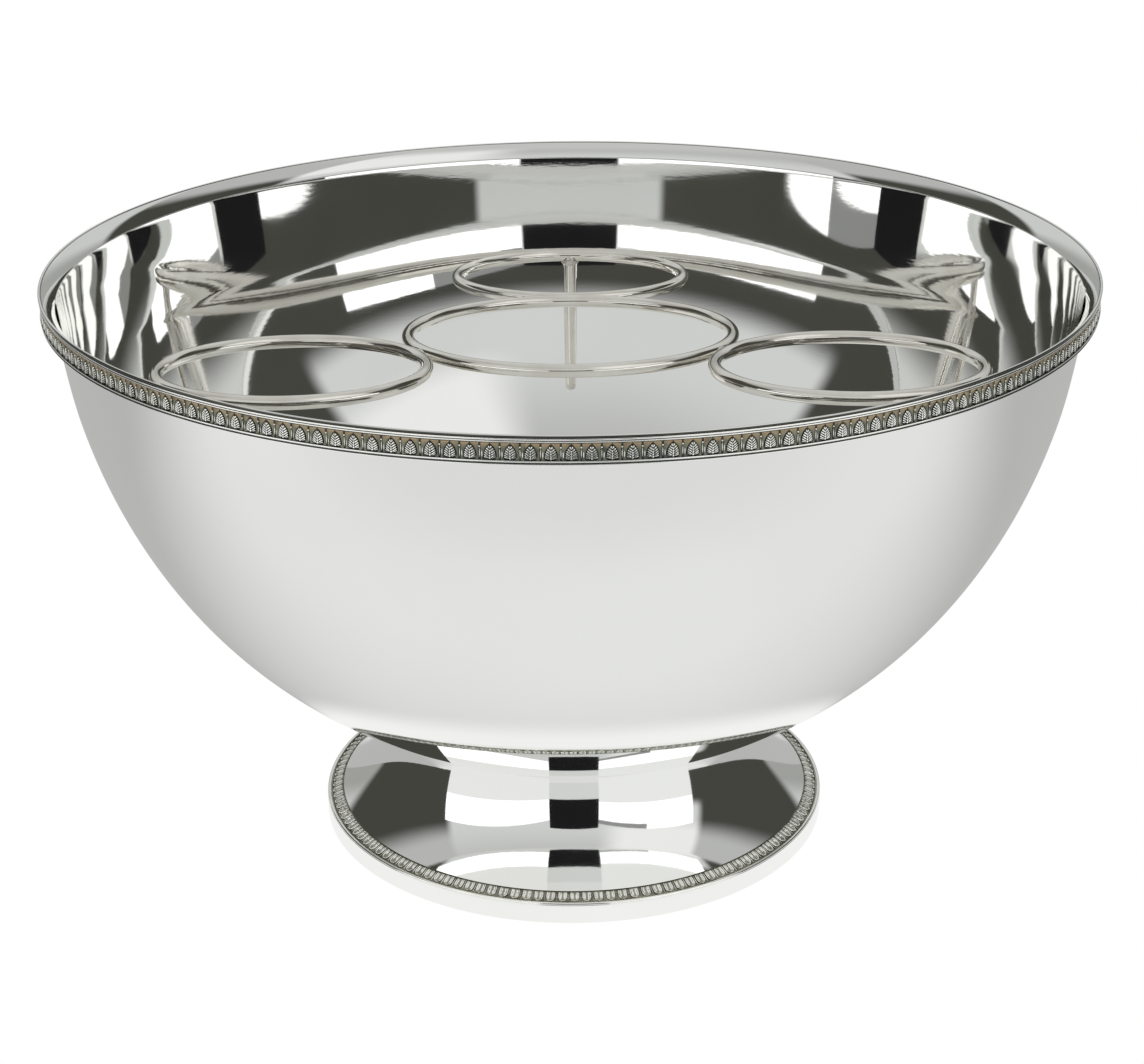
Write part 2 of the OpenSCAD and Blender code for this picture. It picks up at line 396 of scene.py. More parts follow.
def straight_wall(steps, top):
    """Outer wall from the shoulder up, its slope fading to the one that reaches the crease."""
    foot = belly(belly_angle(SHOULDER_Z, 0), 0)
    fullness = BELLY_FULLNESS - 1
    start = ((CURVE_Z - foot[1]) / BELLY_DEPTH) ** fullness / BELLY_DEPTH
    start /= (foot[0] / CURVE_R) ** fullness / CURVE_R
    whole = CREASE_Z - SEAM_GAP - SHOULDER_Z
    reach = CREASE_R + SHEET + WALL_LEAN - SEAM_GAP - foot[0]
    steady = (reach - start * fade(whole)) / (whole - fade(whole))
    return [(foot[0] + steady * (rise - fade(rise)) + start * fade(rise), SHOULDER_Z + rise)
            for rise in np.linspace(0, top - SHOULDER_Z, steps)]


def bowl_outline():
    """Outside up, over the rounded seam edge, and down the inside."""
    low = CREASE_Z - SEAM_GAP - SEAM_ROUND
    wall = straight_wall(WALL_STEPS, low)
    outside = [belly(a, 0) for a in np.linspace(0, belly_angle(SHOULDER_Z, 0), CURVE_STEPS)] + wall[1:]
    inside = [(r - SHEET - WALL_LEAN, z) for r, z in wall[:0:-1]]
    inside += [belly(a, SHEET) for a in np.linspace(belly_angle(SHOULDER_Z, SHEET), 0, CURVE_STEPS)]
    outer_edge = circle(outside[-1][0] - SEAM_ROUND, low, SEAM_ROUND, SEAM_EDGE_STEPS, 0, 90)[1:]
    inner_edge = circle(inside[0][0] + SEAM_ROUND, low, SEAM_ROUND, SEAM_EDGE_STEPS, 90, 90)[:-1]
    return outside + outer_edge + inner_edge + inside


def lip_outline():
    """Back of the turned-out lip going up, and its face coming down to the seam."""
    end = (FACE_R - EDGE_WIRE_R - 0.1 * MM, RIM_TOP - EDGE_WIRE_R + 0.05 * MM)
    back_top = (end[0] - 0.2 * MM, RIM_TOP - 2 * EDGE_WIRE_R - 0.69 * MM)
    back_low = (CREASE_R + SHEET, CREASE_Z)
    back = arc(back_low, back_top, LIP_ARC - LIP_SHEET, LIP_BACK_STEPS)
    face = arc((CREASE_R + 0.05 * MM, CREASE_Z + SEAM_ROUND), end, LIP_ARC, LIP_FACE_STEPS)
    corner = [(CREASE_R + SEAM_ROUND * 0.5, CREASE_Z + SEAM_ROUND * 0.25),
              (CREASE_R + SEAM_ROUND * 1.4, CREASE_Z)]
    return back + face[::-1] + corner


def make_bowl(silver):
    """The spun bowl and its turned-out lip."""
    bowl = mesh_object("bowl_shell", *revolve(bowl_outline()), silver)
    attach(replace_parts(bowl, "bowl_body"), "bowl")
    lip = mesh_object("lip_flare", *revolve(lip_outline()), silver)
    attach(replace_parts(lip, "rim_lip"), "bowl")


def make_rim_wires(wire, crest):
    """The wire on the rim's crest and the half-round beads on the border's face."""
    section = circle(FACE_R, RIM_TOP - EDGE_WIRE_R, EDGE_WIRE_R)
    edge = mesh_object("crest_wire", *revolve(section, WIRE_AROUND), crest)
    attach(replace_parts(edge, "rim_edge_wire"), "bowl")
    for name in ("rim_upper_bead", "rim_second_bead", "rim_lower_bead", "rim_bottom_bead"):
        low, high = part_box(name)
        size = (high.z - low.z) / 2
        half = circle(FACE_R, (low.z + high.z) / 2, size, BEAD_SIDES, -90, 180)
        bead = mesh_object(name.replace("rim_", "rim_drawn_"), *revolve(half, WIRE_AROUND), wire, BEAD_SMOOTH)
        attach(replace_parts(bead, name), "bowl")


# ---------------------------------------------------------------- foot

# the side's slope from upright, in degrees: at the neck, its swell halfway, and the range searched for
# the slope at the border that makes the side meet the neck
NECK_SLOPE = 10.0
FLARE_SWELL = 4.0
FOOT_SLOPES = (30.0, 80.0)
HALVINGS = 40

NECK_R = 74.6 * MM
FOOT_SHEET = 1.5 * MM
BORDER_OUT = (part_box("foot_border")[1].x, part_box("foot_wire")[0].z + 0.16 * MM)
BORDER_IN = (100.90 * MM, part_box("foot_border")[1].z)
BORDER_SHEET = 0.95 * MM
FLANGE_DROP = BORDER_SHEET + 0.04 * MM
NECK_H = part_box("foot_body")[1].z
BAND_SHEET = 1.8 * MM
BAND_EDGE = 0.35 * MM
FILLET_REACH = 3 * MM
FILLET_R = 8 * MM


def flare(steps):
    """The foot's side from the border up to the neck, and its slope from upright at each point."""
    start = np.array([BORDER_IN[0], BORDER_IN[1] - 0.05 * MM])
    span = np.array([start[0] - NECK_R, NECK_H - start[1]])
    middle = (np.arange(steps) + 0.5) / steps
    low, high = FOOT_SLOPES
    for _ in range(HALVINGS):
        foot_slope = (low + high) / 2
        slope = flare_slope(middle, foot_slope)
        if np.sin(slope).sum() / np.cos(slope).sum() < span[0] / span[1]:
            low = foot_slope
        else:
            high = foot_slope
    length = span[1] / np.cos(slope).sum()
    radius = start[0] - length * np.concatenate([[0], np.cumsum(np.sin(slope))])
    height = start[1] + length * np.concatenate([[0], np.cumsum(np.cos(slope))])
    return radius, height, flare_slope(np.linspace(0, 1, steps + 1), foot_slope)


def flare_slope(share, foot_slope):
    """Slope from upright, in radians, at a share of the way up the side."""
    return np.radians(foot_slope + (NECK_SLOPE - foot_slope) * share + FLARE_SWELL * np.sin(np.pi * share))


def foot_outline():
    """Flared side up, and the hollow inside down to the flange under the border."""
    radius, height, slope = flare(FLARE_STEPS)
    side = list(zip(radius, height))
    hollow_r = radius - FOOT_SHEET * np.cos(slope)
    hollow_h = height - FOOT_SHEET * np.sin(slope)
    hollow = [(r, h) for r, h in zip(hollow_r, hollow_h) if BORDER_IN[1] < h < NECK_H - 0.5 * MM][::-1]
    flange = [(BORDER_OUT[0], BORDER_OUT[1] - FLANGE_DROP - FOOT_SHEET),
              (BORDER_OUT[0], BORDER_OUT[1] - FLANGE_DROP), (BORDER_IN[0], BORDER_IN[1] - FLANGE_DROP)]
    corner = [(BORDER_IN[0] - FOOT_SHEET, BORDER_IN[1] - FLANGE_DROP - FOOT_SHEET)]
    return flange + side + [(NECK_R - FOOT_SHEET, NECK_H)] + hollow + corner


def make_foot(silver, wire, dull):
    """Flared foot, its upright band, the wire on the band and the solder at the neck."""
    foot = mesh_object("foot_flare", *revolve(foot_outline()), silver)
    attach(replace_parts(foot, "foot_body"), "bowl")

    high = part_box("foot_band")[1]
    inner, corner = high.x - BAND_SHEET, high.x - BAND_EDGE
    outline = [(inner, 0.0)] + circle(corner, BAND_EDGE, BAND_EDGE, BAND_EDGE_STEPS, -90, 90)
    outline += circle(corner, high.z - BAND_EDGE, BAND_EDGE, BAND_EDGE_STEPS, 0, 90) + [(inner, high.z)]
    band = mesh_object("foot_upright_band", *revolve(outline, WIRE_AROUND), silver)
    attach(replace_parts(band, "foot_band"), "bowl")

    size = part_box("foot_wire")[1].z - high.z
    half = circle(high.x - BAND_SHEET / 2, high.z, size, BEAD_SIDES, 0, 180)
    bead = mesh_object("foot_drawn_wire", *revolve(half, WIRE_AROUND), wire, BEAD_SMOOTH)
    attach(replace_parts(bead, "foot_wire"), "bowl")

    under = [(r, belly(math.asin((r / CURVE_R) ** (BELLY_FULLNESS / 2)), 0)[1] - 0.01 * MM)
             for r in np.linspace(NECK_R + FILLET_REACH, NECK_R - FOOT_SHEET, UNDER_STEPS)]
    fillet = arc((NECK_R, NECK_H), under[0], FILLET_R, FILLET_STEPS)
    neck = mesh_object("neck_fillet", *revolve([(NECK_R - FOOT_SHEET, NECK_H)] + fillet + under[1:]), dull)
    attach(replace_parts(neck, "neck_solder"), "bowl")


# ---------------------------------------------------------------- stamped borders

class Band:
    """A strip around the z axis that carries a repeated pattern.

    x counts repeats along the strip, from the front centre towards +x. v goes from 0 to 1 across it.
    h is the height above its face. low and high are its edges as (radius, height) points.
    """

    def __init__(self, low, high, count):
        self.low = np.array(low)
        self.way = np.array(high) - self.low
        self.width = np.hypot(*self.way)
        self.out = np.array([self.way[1], -self.way[0]]) / self.width
        self.count = count
        self.pitch = 2 * math.pi * (self.low[0] + self.way[0] / 2) / count

    def place(self, x, v, h):
        """Points in the frame's axes for arrays of pattern coordinates."""
        angle = 2 * math.pi * x / self.count - math.pi / 2
        radius = self.low[0] + v * self.way[0] + h * self.out[0]
        height = self.low[1] + v * self.way[1] + h * self.out[1]
        return np.stack([radius * np.cos(angle), radius * np.sin(angle), height], axis=-1)

    def repeat(self, tile):
        """Vertices, faces and raised shares of a tile, (x, v, h, raised) and its faces, copied all round."""
        (x, v, h, raised), faces = tile
        shift = np.arange(self.count)[:, None]
        verts = self.place((x[None] + shift).ravel(), np.tile(v, self.count), np.tile(h, self.count))
        every = [[corner + k * len(x) for corner in face] for k in range(self.count) for face in faces]
        return verts, every, np.tile(raised, self.count)


def raised_piece(name, verts, faces, raised, material):
    """A mesh piece with the share that each point stands up, which its material reads."""
    piece = mesh_object(name, verts, faces, material, RELIEF_SMOOTH)
    share = piece.data.attributes.new("raised", "FLOAT", "POINT")
    share.data.foreach_set("value", np.asarray(raised, dtype=np.float32))
    return piece


def relief(rows, columns, point, floor):
    """A closed relief tile: a rows by columns grid of points, with a skirt down to floor and a flat back.

    point(t, s) gives (x, v, h, raised) for t from 0 to 1 and s from -1 to 1.
    """
    grid = [point(t, s) for t in rows for s in columns]
    wide = len(columns)
    rim = ([i for i in range(wide)] + [i * wide + wide - 1 for i in range(1, len(rows))]
           + [(len(rows) - 1) * wide + i for i in range(wide - 2, -1, -1)]
           + [i * wide for i in range(len(rows) - 2, 0, -1)])
    faces = [(i * wide + j, i * wide + j + 1, (i + 1) * wide + j + 1, (i + 1) * wide + j)
             for i in range(len(rows) - 1) for j in range(wide - 1)]
    first = len(grid)
    grid += [(grid[i][0], grid[i][1], floor, 0.0) for i in rim]
    around = len(rim)
    for i in range(around):
        j = (i + 1) % around
        faces.append((rim[j], rim[i], first + i, first + j))
    faces.append(tuple(first + i for i in range(around - 1, -1, -1)))
    return tuple(np.array(part) for part in zip(*grid)), faces


def joined(*tiles):
    """Several tiles as one."""
    parts, faces, count = [], [], 0
    for part, tile_faces in tiles:
        parts.append(part)
        faces += [tuple(corner + count for corner in face) for face in tile_faces]
        count += len(part[0])
    return tuple(np.concatenate(column) for column in zip(*parts)), faces


def bump_up(distance):
    """1 at distance 0 falling smoothly to 0 at distance 1 and beyond."""
    return math.cos(math.pi / 2 * min(abs(distance), 1.0)) ** 2


RIM_LEAVES = 200
LEAF_RIBS = 6
LEAF_LOW, LEAF_TOP = 0.05, 0.86
LEAF_HALF = 0.285
FRIEZE_FLOOR = -0.30 * MM
PLAIN_RAISED = 0.05
PATTERN_OVER_BEAD = 0.04 * MM
PATTERN_UNDER_BEAD = 0.35 * MM
STRIP_TOP_DEPTH = 1.2 * MM
STRIP_LOW_DEPTH = 4.2 * MM


def leaf_half_width(v, low=LEAF_LOW, top=LEAF_TOP, half=LEAF_HALF):
    """Half the leaf's width at height v, as a share of the pitch: round at its foot, pointed at its tip."""
    t = min(max((v - low) / (top - low), 0.0), 1.0)
    if t < 0.12:
        return half * math.sqrt(1 - 0.40 * (1 - t / 0.12) ** 2)
    return half * (1 - ((t - 0.12) / 0.88) ** 2.5) ** 0.85


def leaf_point(t, s):
    """A leaf with a raised vein and even ribs that fan out from its base and slant up to a scalloped edge."""
    at_edge = LEAF_LOW + 0.05 + (LEAF_TOP - LEAF_LOW - 0.05) * t
    rise = 0.03 + 0.21 * min(t / 0.22, 1.0) * (1 - t) ** 0.4
    rib = 0.5 + 0.5 * math.cos(2 * math.pi * (LEAF_RIBS * t - 0.5))
    reach = leaf_half_width(min(at_edge, LEAF_TOP - 0.004)) * (0.92 + 0.08 * rib)
    side = abs(s)
    vein = bump_up(side / 0.16)
    dome = 1 - 0.35 * side ** 3
    h = FRIEZE_FLOOR + (0.18 + 0.30 * rib * (1 - vein) * dome + 0.34 * vein) * MM
    if side > 0.97:
        h = FRIEZE_FLOOR + (0.08 + 0.16 * rib) * MM
    lit = min(max((rib - 0.30) / 0.35, 0.0), 1.0)
    valley = bump_up((side - 0.23) / 0.10)
    return s * reach, at_edge - rise * (1 - side), h, max(lit * (1 - 0.8 * valley), vein)


def ridge(x, low, high, half, height, rows=5):
    """A closed upright ridge on the strip, round across and at its ends."""
    def point(t, s):
        end = math.sin(math.pi * min(max(t, 0.04), 0.96)) ** 0.35
        across = math.cos(math.pi / 2 * s)
        return (x + s * half * end, low + (high - low) * t, FRIEZE_FLOOR + height * across * end,
                across * end)
    return relief(np.linspace(0, 1, rows), (-1, -0.55, 0, 0.55, 1), point, FRIEZE_FLOOR - 0.05 * MM)


def button(x, v, half_x, half_v, height, sides=10):
    """A closed small round boss."""
    rings = ((1.0, 0.0), (0.86, 0.5), (0.5, 0.87))
    turn = 2 * math.pi / sides
    grid = [(x + half_x * size * math.cos(turn * i), v + half_v * size * math.sin(turn * i),
             FRIEZE_FLOOR + height * up, up) for size, up in rings for i in range(sides)]
    grid.append((x, v, FRIEZE_FLOOR + height, 1.0))
    faces = [(r * sides + i, r * sides + (i + 1) % sides,
              (r + 1) * sides + (i + 1) % sides, (r + 1) * sides + i)
             for r in range(len(rings) - 1) for i in range(sides)]
    last = (len(rings) - 1) * sides
    faces += [(last + i, last + (i + 1) % sides, len(grid) - 1) for i in range(sides)]
    faces.append(tuple(range(sides - 1, -1, -1)))
    return tuple(np.array(part) for part in zip(*grid)), faces


def strip_columns(v):
    """The strip across one pitch, as (x, height, raised), with a groove that follows the leaf."""
    groove = 0.075
    leaf = leaf_half_width(v) if LEAF_LOW < v < LEAF_TOP else 0.0
    outer = leaf_half_width(v, LEAF_LOW - 0.10, LEAF_TOP + 0.10, LEAF_HALF + groove) + 0.012
    deep = FRIEZE_FLOOR - 0.12 * MM
    flat = FRIEZE_FLOOR + 0.10 * MM
    side = [(leaf * 0.5, deep, 0.0), ((leaf + outer) / 2, deep, 0.0), (outer, flat, 0.30)]
    dart = [(0.42, flat, 0.34), (0.455, deep, 0.0), (0.52, deep, 0.0), (0.555, flat, 0.30)]
    mirrored = [(-x, h, raised) for x, h, raised in side[::-1]]
    return mirrored + [(0.0, deep, 0.0)] + side + dart


def tiled_ring(band, rows, columns):
    """A closed ring made of rows (v, height, share of the pattern) whose columns follow the pattern."""
    verts, raised = [], []
    for v, lift, share in rows:
        tile = columns(min(max(v, 0.0), 1.0))
        x = np.array([c[0] for c in tile])
        h = np.array([c[1] for c in tile]) * share + lift
        every = (x[None] + np.arange(band.count)[:, None]).ravel()
        verts.append(band.place(every, np.full(every.size, v), np.tile(h, band.count)))
        raised.append(np.tile([c[2] * share + (1 - share) * PLAIN_RAISED for c in tile], band.count))
    around = len(verts[0])
    faces = [(k * around + i, k * around + (i + 1) % around,
              (k + 1) % len(rows) * around + (i + 1) % around, (k + 1) % len(rows) * around + i)
             for k in range(len(rows)) for i in range(around)]
    return np.concatenate(verts), faces, np.concatenate(raised)


def make_rim_border(stamped):
    """The stamped strip under the rim, its leaves and the darts between them."""
    low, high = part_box("rim_border")[0].z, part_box("rim_border")[1].z
    zone_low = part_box("rim_lower_bead")[1].z + PATTERN_OVER_BEAD
    zone_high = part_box("rim_second_bead")[0].z - PATTERN_UNDER_BEAD
    band = Band((FACE_R, zone_low), (FACE_R, zone_high), RIM_LEAVES)
    share = 1 / band.width
    below, above = (low - zone_low) * share, 1 + (high - zone_high) * share
    front = [(below, 0.0, 0.0), (-0.03, 0.0, 0.0)]
    front += [(v, 0.0, 1.0) for v in (0.0, 0.05, 0.14, 0.26, 0.38, 0.50, 0.62, 0.73, 0.82, 0.89, 0.95, 1.0)]
    front += [(1.03, 0.0, 0.0), (above, 0.0, 0.0)]
    back = [(above, -STRIP_TOP_DEPTH, 0.0), (below, -STRIP_LOW_DEPTH, 0.0)]
    verts, faces, raised = tiled_ring(band, front + back, strip_columns)
    strip = raised_piece("rim_strip", verts, faces, raised, stamped)
    leaves = raised_piece("rim_leaves", *band.repeat(leaf_tile()), stamped)
    darts = raised_piece("rim_darts", *band.repeat(dart_tile(band)), stamped)
    for piece in (strip, leaves, darts):
        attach(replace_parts(piece, "rim_border"), "bowl")


def leaf_tile():
    """One leaf, its grid lined up with its ribs."""
    within = (0.0, 0.22, 0.38, 0.62, 0.78)
    rows = [(rib + part) / LEAF_RIBS for rib in range(LEAF_RIBS) for part in within] + [0.985]
    half = (0.11, 0.23, 0.36, 0.68, 1.0)
    columns = [-s for s in half[::-1]] + [0.0] + list(half)
    return relief(rows, columns, leaf_point, FRIEZE_FLOOR - 0.15 * MM)


def dart_tile(band):
    """A thin dart topped by a bead, and a fainter stem at its right."""
    round_v = 0.06 * band.pitch / band.width
    return joined(ridge(0.488, 0.06, 0.70, 0.040, 0.34 * MM), ridge(0.60, 0.10, 0.52, 0.035, 0.20 * MM),
                  button(0.488, 0.77, 0.058, round_v, 0.42 * MM))


FOOT_TONGUES = 134
FOOT_MARGIN = 0.05


def tongue_point(t, s):
    """A tongue with a raised edge round its lower end, two lobes inside and a groove between them."""
    v = 0.06 + 0.86 * t
    round_end = min(t / 0.45, 1.0)
    reach = 0.37 * math.sqrt(max(1 - (1 - round_end) ** 2, 0.02)) * (1 - 0.10 * bump_up((t - 1) / 0.2))
    side = abs(s)
    edge = bump_up((side - 0.86) / 0.28)
    lobe = bump_up((side - 0.42) / 0.32) * bump_up((t - 0.62) / 0.62)
    end = bump_up((t - 0.0) / 0.22)
    h = FRIEZE_FLOOR + (0.14 + 0.30 * max(edge, end) + 0.30 * lobe) * MM
    return s * reach, v, h, max(edge, end, 0.36 + 0.64 * lobe)


def tongue_tile():
    """One tongue and the dart beside it."""
    half = (0.2, 0.42, 0.64, 0.86, 1.0)
    columns = [-s for s in half[::-1]] + [0.0] + list(half)
    rows = [0.0, 0.05, 0.12, 0.2, 0.3, 0.4, 0.5, 0.6, 0.7, 0.8, 0.88, 0.95, 1.0]
    tongue = relief(rows, columns, tongue_point, FRIEZE_FLOOR - 0.15 * MM)
    return joined(tongue, ridge(0.5, 0.04, 0.94, 0.055, 0.34 * MM, 6))


def foot_strip_columns(_):
    """The foot's strip between its tongues, dark beside each dart and the same all the way across."""
    deep = FRIEZE_FLOOR - 0.10 * MM
    flat = FRIEZE_FLOOR + 0.02 * MM
    return [(x, h, raised) for x, h, raised in ((-0.38, deep, 0.20), (-0.2, flat, 0.22), (0.2, flat, 0.22),
                                                 (0.38, deep, 0.20), (0.5, flat, 0.22))]


def make_foot_border(stamped):
    """The sloping stamped strip on the foot, its tongues and darts."""
    low, high = np.array(BORDER_OUT), np.array(BORDER_IN)
    inset = (high - low) * FOOT_MARGIN
    band = Band(low + inset, high - inset, FOOT_TONGUES)
    edge = FOOT_MARGIN / (1 - 2 * FOOT_MARGIN)
    front = [(-edge, 0.0, 0.0), (-0.02, 0.0, 0.0), (0.0, 0.0, 1.0), (0.5, 0.0, 1.0), (1.0, 0.0, 1.0),
             (1.02, 0.0, 0.0), (1 + edge, 0.0, 0.0)]
    back = [(1 + edge, -BORDER_SHEET, 0.0), (-edge, -BORDER_SHEET, 0.0)]
    verts, faces, raised = tiled_ring(band, front + back, foot_strip_columns)
    strip = raised_piece("foot_strip", verts, faces, raised, stamped)
    tongues = raised_piece("foot_tongues", *band.repeat(tongue_tile()), stamped)
    for piece in (strip, tongues):
        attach(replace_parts(piece, "foot_border"), "bowl")


# ---------------------------------------------------------------- rack

DROP_SIZE = (2.6 * MM, 4.2 * MM, 1.9 * MM)
COLLAR_SIZE = (3.5 * MM, 3.4 * MM, 3.6 * MM)
COLLAR_AT = -2 * MM
RACK_FRAME = Matrix.Translation(RACK_AT) @ Matrix.Rotation(RACK_LEAN, 4, "X")


def rack_piece(name, verts, faces, material, node, slot, at=Matrix.Identity(4)):
    """A piece of the rack given in the rack's own level frame."""
    placed = [RACK_FRAME @ at @ Vector(v) for v in verts]
    piece = mesh_object(name, placed, faces, material)
    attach(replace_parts(piece, node), "rack")
    return piece


def turn_to(place, distance):
    """The level frame of an outer ring, a leg or a solder blob, with x pointing outwards."""
    return Matrix.Rotation(math.radians(PLACES[place]), 4, "Z") @ Matrix.Translation((distance, 0, 0))


def make_rings(wire):
    """Middle ring and three outer rings."""
    middle = revolve(circle(MIDDLE_R, 0, WIRE_R, RING_SIDES), MIDDLE_AROUND)
    rack_piece("ring_middle", *middle, wire, "rack_ring_middle", "rack_wire")
    outer = revolve(circle(OUTER_R, 0, WIRE_R, RING_SIDES), OUTER_AROUND)
    for place in PLACES:
        rack_piece("ring_" + place, *outer, wire, "rack_ring_" + place, "rack_wire",
                   turn_to(place, RING_STEP))


def make_legs(wire):
    """Three straight legs with rounded ends, splayed outwards."""
    rounded = [(WIRE_R * math.cos(math.radians(a)), -LEG_H + WIRE_R * math.sin(math.radians(a)))
               for a in range(-90, 1, 10)]
    outline = [(0.0, rounded[0][1])] + rounded[1:]
    outline += [(WIRE_R, -row * LEG_H / LEG_ROWS) for row in range(LEG_ROWS - 1, 0, -1)]
    outline += [(WIRE_R, LEG_TOP), (0.0, LEG_TOP)]
    leg = revolve(outline, LEG_AROUND)
    splay = Matrix.Rotation(-LEG_SPLAY, 4, "Y")
    for place in PLACES:
        rack_piece("leg_" + place, *leg, wire, "rack_leg_" + place, "rack_wire",
                   turn_to(place, LEG_AT) @ splay)


def blob(size):
    """A closed ellipsoid of the given half sizes."""
    angles = [math.pi * row / BLOB_ROWS for row in range(1, BLOB_ROWS)]
    outline = [(0.0, -1.0)] + [(math.sin(a), -math.cos(a)) for a in angles] + [(0.0, 1.0)]
    verts, faces = revolve(outline, BLOB_AROUND)
    return [(x * size[0], y * size[1], z * size[2]) for x, y, z in verts], faces


def make_solder(dull):
    """Solder where rings touch, and around the top of each leg."""
    drop = blob(DROP_SIZE)
    collar = blob(COLLAR_SIZE)
    for place in PLACES:
        rack_piece("solder_drop_" + place, *drop, dull, "ring_solder_" + place, "solder",
                   turn_to(place, MIDDLE_R + WIRE_R + RING_GAP / 2))
        rack_piece("solder_collar_" + place, *collar, dull, "leg_solder_" + place, "solder",
                   turn_to(place, LEG_AT) @ Matrix.Translation((0, 0, COLLAR_AT)))


# ---------------------------------------------------------------- stage

CAMERA_AT = (0, -0.9121, 0.4984)
CAMERA_PITCH = 67.72
CAMERA_ROLL = -0.43
LENS = 73.5
WHITE = (1.0, 1.0, 1.0)
FLOOR_HALF = 6.0

# panels in front: how far they stand, the azimuths between which each runs, and the levels of their parts
PANEL_FROM = 0.65
PANEL_POWER = 1.3
LEFT_PANEL = (-14, -76)
RIGHT_PANEL = (14, 70)
LEFT_BASE_TOP = 0.19
RIGHT_BASE_TOP = 0.215
PANEL_H = 0.385
RIGHT_TOP = 0.425
GREY_SHARE = 0.5

# dark shape between the panels
DARK_HALF = 0.135
DARK_Y = -0.55
DARK_LEVELS = (0.165, 0.405)


def set_bounces():
    """Enough reflections in a row for the inside of a polished bowl."""
    cycles = bpy.context.scene.cycles
    cycles.glossy_bounces = 12
    cycles.max_bounces = 16


def make_camera():
    """The photograph's viewing angle."""
    camera = bpy.data.cameras.new("camera")
    camera.lens = LENS
    camera.sensor_width = 36
    camera.sensor_fit = "HORIZONTAL"
    camera.clip_start = 0.01
    seen_from = bpy.data.objects.new("camera", camera)
    pitch = Matrix.Rotation(math.radians(CAMERA_PITCH), 4, "X")
    roll = Matrix.Rotation(math.radians(CAMERA_ROLL), 4, "Z")
    seen_from.matrix_world = Matrix.Translation(CAMERA_AT) @ pitch @ roll
    bpy.context.scene.collection.objects.link(seen_from)
    bpy.context.scene.camera = seen_from


def emission_material(name, colour, strength=1.0):
    """A plain light-giving material."""
    material = bpy.data.materials.new(name)
    material.use_nodes = True
    tree = material.node_tree
    tree.nodes.remove(tree.nodes["Principled BSDF"])
    glow = tree.nodes.new("ShaderNodeEmission")
    glow.inputs["Color"].default_value = (*colour, 1.0)
    glow.inputs["Strength"].default_value = strength
    tree.links.new(glow.outputs[0], tree.nodes["Material Output"].inputs["Surface"])
    return material


def upright_card(name, first, last, low, high, material):
    """A thin upright panel over the ground line from first to last, seen only in reflections."""
    verts = [(*first, low), (*last, low), (*last, high), (*first, high)]
    card = mesh_object(name, verts, [(0, 1, 2, 3)], material)
    card.visible_camera = False


def around_axis(degrees, distance):
    """Ground point at an azimuth from the front, counted towards +x."""
    a = math.radians(degrees)
    return (distance * math.sin(a), -distance * math.cos(a))


def make_lights():
    """Two soft panels in front on pale bases, with a dark shape in the gap between them.

    The right panel is higher than the left one, and the inner share of its top is grey.
    """
    panel = emission_material("panel_light", WHITE, PANEL_POWER)
    base = emission_material("panel_base", (0.84, 0.845, 0.83))
    grey = emission_material("grey_strip", (0.27, 0.275, 0.27))
    dark = emission_material("camera_dark", (0.012, 0.012, 0.013))
    left = tuple(around_axis(degrees, PANEL_FROM) for degrees in LEFT_PANEL)
    right = tuple(around_axis(degrees, PANEL_FROM) for degrees in RIGHT_PANEL)
    for name, place, base_top in (("left", left, LEFT_BASE_TOP), ("right", right, RIGHT_BASE_TOP)):
        upright_card("base_" + name, *place, 0.0, base_top, base)
        upright_card("panel_" + name, *place, base_top, PANEL_H, panel)
    grey_end = tuple(a + (b - a) * GREY_SHARE for a, b in zip(*right))
    upright_card("strip_right", right[0], grey_end, PANEL_H, RIGHT_TOP, grey)
    upright_card("panel_right_high", grey_end, right[1], PANEL_H, RIGHT_TOP, panel)
    upright_card("dark_shape", (-DARK_HALF, DARK_Y), (DARK_HALF, DARK_Y), *DARK_LEVELS, dark)


def make_world():
    """Room seen in the silver: dark low in front and at the sides, light overhead and behind."""
    world = bpy.data.worlds.new("studio")
    bpy.context.scene.world = world
    world.use_nodes = True
    tree = world.node_tree
    x, y, z = coordinates(tree, "Generated")
    height = math_node(tree, "DEGREES", math_node(tree, "ARCSINE", z))
    side = math_node(tree, "DEGREES", math_node(tree, "ARCTAN2", x, math_node(tree, "MULTIPLY", y, -1.0)))
    turn = math_node(tree, "ABSOLUTE", side)
    wall = (0.060, 0.060, 0.052)
    gap = mix(tree, ramp(tree, turn, 17.0, 21.0), (0.66, 0.67, 0.66), wall)
    low_wall = mix(tree, ramp(tree, height, 14.0, 16.0), gap, wall)
    low_front = mix(tree, ramp(tree, height, 19.0, 26.0), low_wall, (0.64, 0.65, 0.64))
    overhead = mix(tree, ramp(tree, height, 34.0, 60.0), low_front, (0.50, 0.505, 0.49))
    bright = math_node(tree, "MULTIPLY", ramp(tree, side, 12.0, 34.0), ramp(tree, height, 32.0, 40.0))
    room = mix(tree, bright, overhead, (0.86, 0.86, 0.85))
    beside = mix(tree, ramp(tree, height, 32.0, 43.0), wall, (0.48, 0.485, 0.475))
    room = mix(tree, ramp(tree, turn, 76.0, 82.0), room, beside)
    behind = mix(tree, ramp(tree, height, 6.0, 18.0), (0.36, 0.365, 0.35), (0.60, 0.61, 0.60))
    room = mix(tree, ramp(tree, turn, 134.0, 139.0), room, behind)
    room = mix(tree, ramp(tree, height, 56.0, 74.0), room, (0.56, 0.565, 0.55))
    path = tree.nodes.new("ShaderNodeLightPath")
    seen = mix(tree, path.outputs["Is Camera Ray"], room, WHITE)
    tree.links.new(seen, tree.nodes["Background"].inputs["Color"])


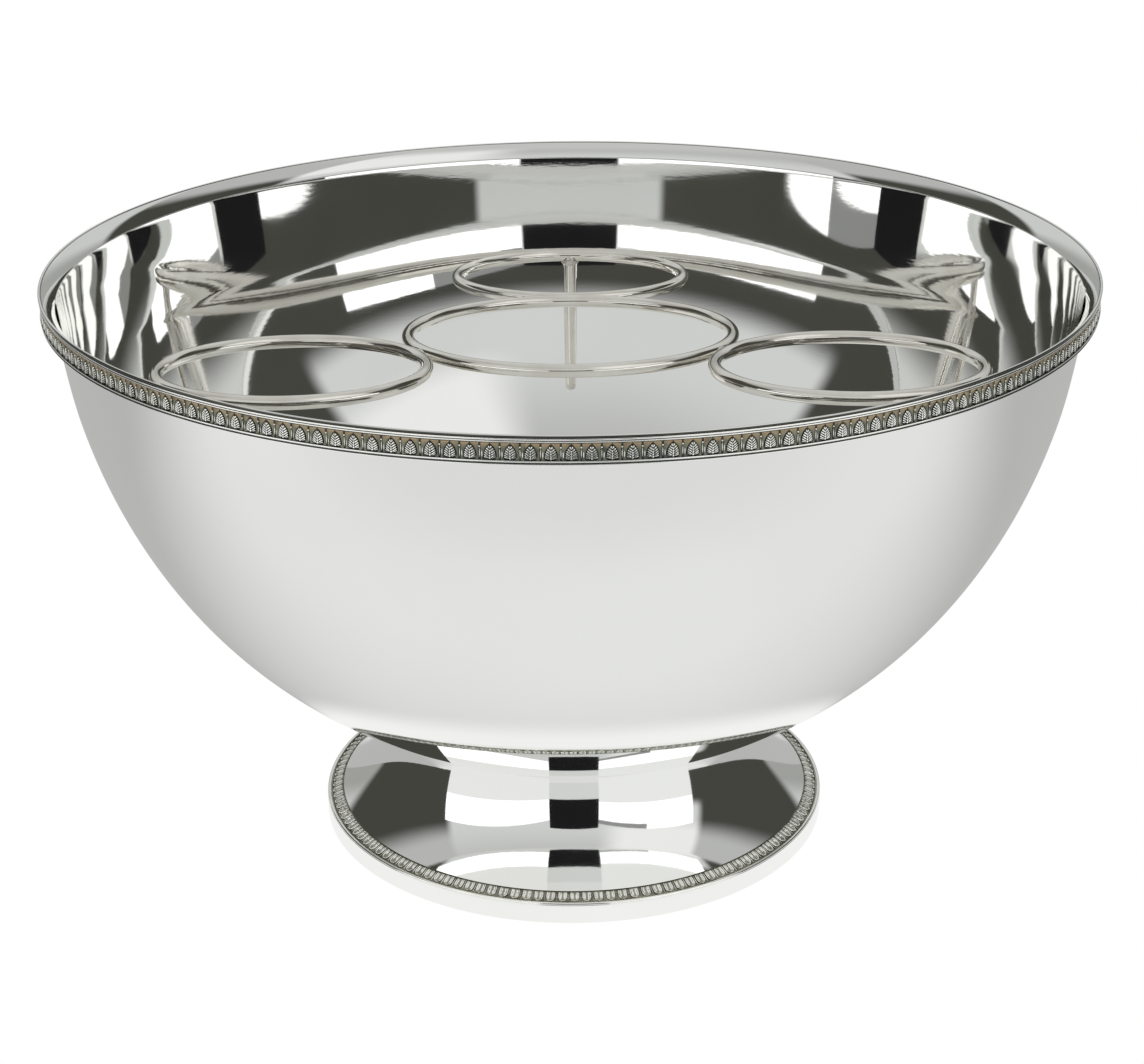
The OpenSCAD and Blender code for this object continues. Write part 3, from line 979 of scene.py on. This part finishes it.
def make_floor():
    """A plain pale table top that glows: white to the camera, and in reflections painted light, brighter in
    front than behind, where it is painted shade.

    Close around the foot it is brightest, also painted light.
    """
    verts = [(-FLOOR_HALF, -FLOOR_HALF, 0), (FLOOR_HALF, -FLOOR_HALF, 0),
             (FLOOR_HALF, FLOOR_HALF, 0), (-FLOOR_HALF, FLOOR_HALF, 0)]
    material = emission_material("table_top", WHITE)
    tree = material.node_tree
    x, y = coordinates(tree, "Object")[:2]
    # painted light and shade seen in reflections: painted light in front from the panels, painted shade
    # behind, brightest painted light close around the foot
    front = mix(tree, ramp(tree, y, -0.50, -0.28), (0.74, 0.745, 0.735), (0.80, 0.805, 0.795))
    lit = mix(tree, ramp(tree, y, -0.22, 0.12), front, (0.48, 0.485, 0.475))
    squares = math_node(tree, "ADD", math_node(tree, "MULTIPLY", x, x), math_node(tree, "MULTIPLY", y, y))
    reach = math_node(tree, "SQRT", squares)
    lit = mix(tree, ramp(tree, reach, 0.118, 0.150), (0.92, 0.92, 0.91), lit)
    path = tree.nodes.new("ShaderNodeLightPath")
    seen = mix(tree, path.outputs["Is Camera Ray"], lit, WHITE)
    tree.links.new(seen, tree.nodes["Emission"].inputs["Color"])
    mesh_object("table_top", verts, [(0, 1, 2, 3)], material)


def paint_frame(materials):
    """Gives the CAD nodes that still show the material of their slot."""
    for item in frame["record"].get("materials", []):
        for node in frame["nodes"].values():
            for slot in node.material_slots:
                if slot.material and item["slot"] in slot.material.name:
                    slot.material = materials[item["slot"]]


def main():
    """Builds everything."""
    bpy.context.scene.view_settings.view_transform = "Standard"
    silver = polished_silver()
    wire = bead_wire("bead_wire", False)
    rack = rack_wire()
    dull = solder_metal()
    stamped = rim_stamped()
    paint_frame({"polished_silver": silver, "aged_border": stamped, "bead_wire": wire, "rack_wire": rack,
                 "solder": dull})
    make_bowl(silver)
    make_rim_wires(bead_wire("rim_bead_wire", True), crest_metal_painted_reflection())
    make_foot(silver, wire, dull)
    make_rim_border(stamped)
    make_foot_border(foot_stamped())
    make_rings(rack)
    make_legs(rack)
    make_solder(dull)
    make_camera()
    set_bounces()
    make_lights()
    make_world()
    make_floor()


main()
